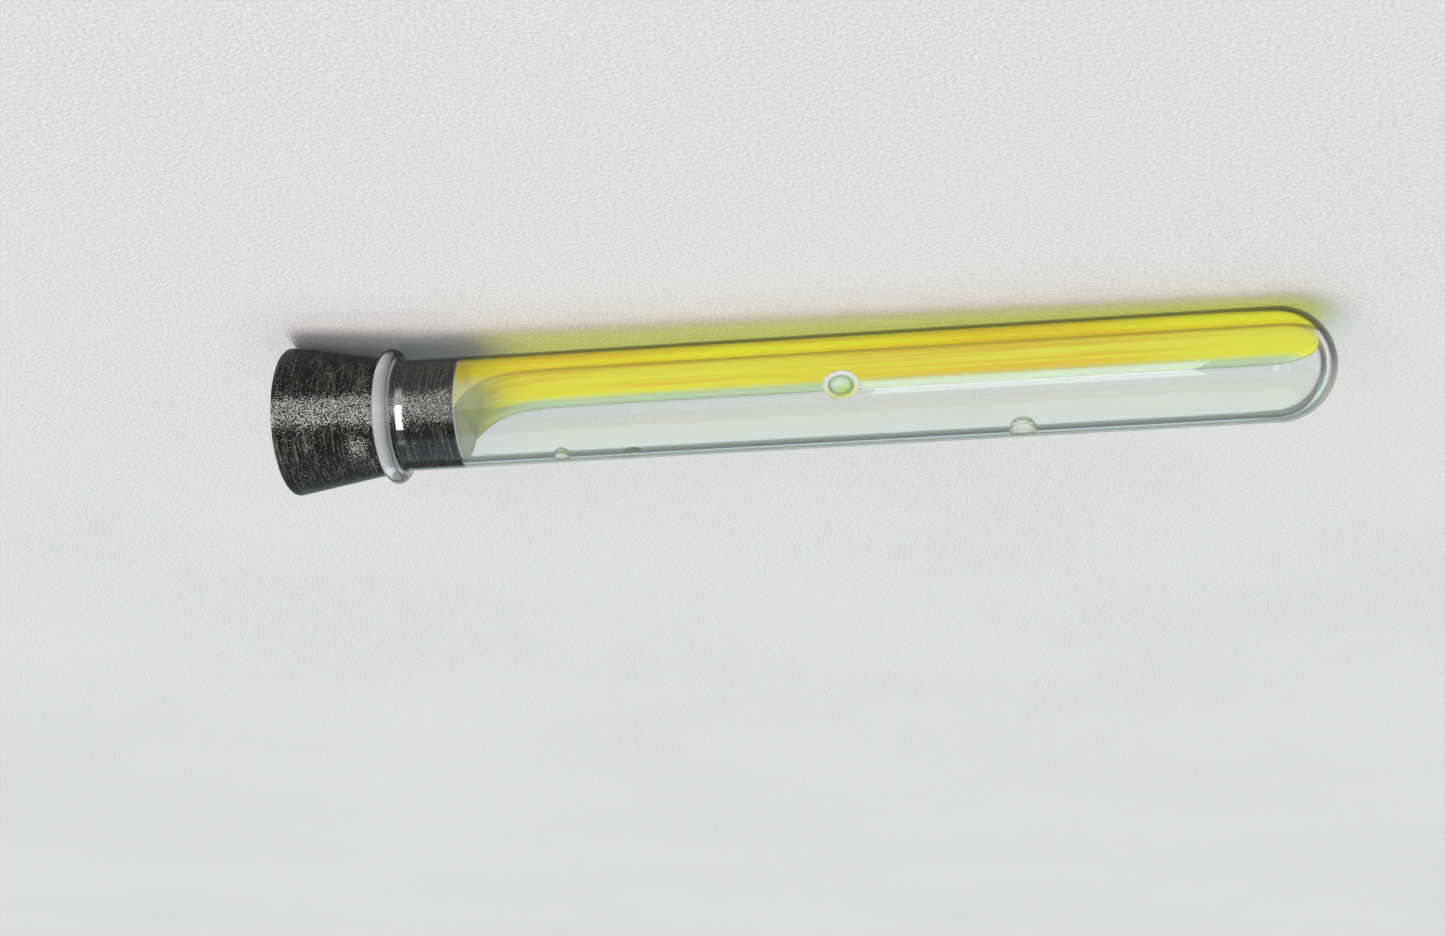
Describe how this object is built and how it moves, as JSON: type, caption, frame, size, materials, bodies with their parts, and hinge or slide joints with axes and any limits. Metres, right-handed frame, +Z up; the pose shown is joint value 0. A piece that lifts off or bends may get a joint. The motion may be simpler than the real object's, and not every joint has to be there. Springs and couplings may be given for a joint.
{
  "type": "stoppered test tube",
  "caption": "Round-bottomed glass test tube with a beaded mouth and a tapered black rubber stopper, lying down with yellow liquid in it.",
  "frame": {"origin": "on the surface that the tube lies on, under the middle of its overall length", "axes": "+X along the tube towards the stopper, +Z up; the tube's own axis climbs 1.15 degrees towards the stopper"},
  "size_m": [0.1662, 0.024, 0.0242],
  "materials": {
    "glass": "clear, polished",
    "rubber": "matte",
    "liquid": "clear yellow liquid",
    "drops": "clear yellow-green liquid"
  },
  "bodies": {
    "tube": {"glass_tube": "glass", "yellow_liquid": "liquid", "front_drop": "drops", "hanging_drop": "drops", "small_hanging_drop": "drops", "back_drop": "drops"},
    "stopper": {"rubber_stopper": "rubber"}
  },
  "joints": [
    {"name": "stopper_pull", "type": "slide", "parent": "tube", "child": "stopper", "axis": [0.9998, 0, 0.0201], "range_m": [0, 0.03]}
  ]
}
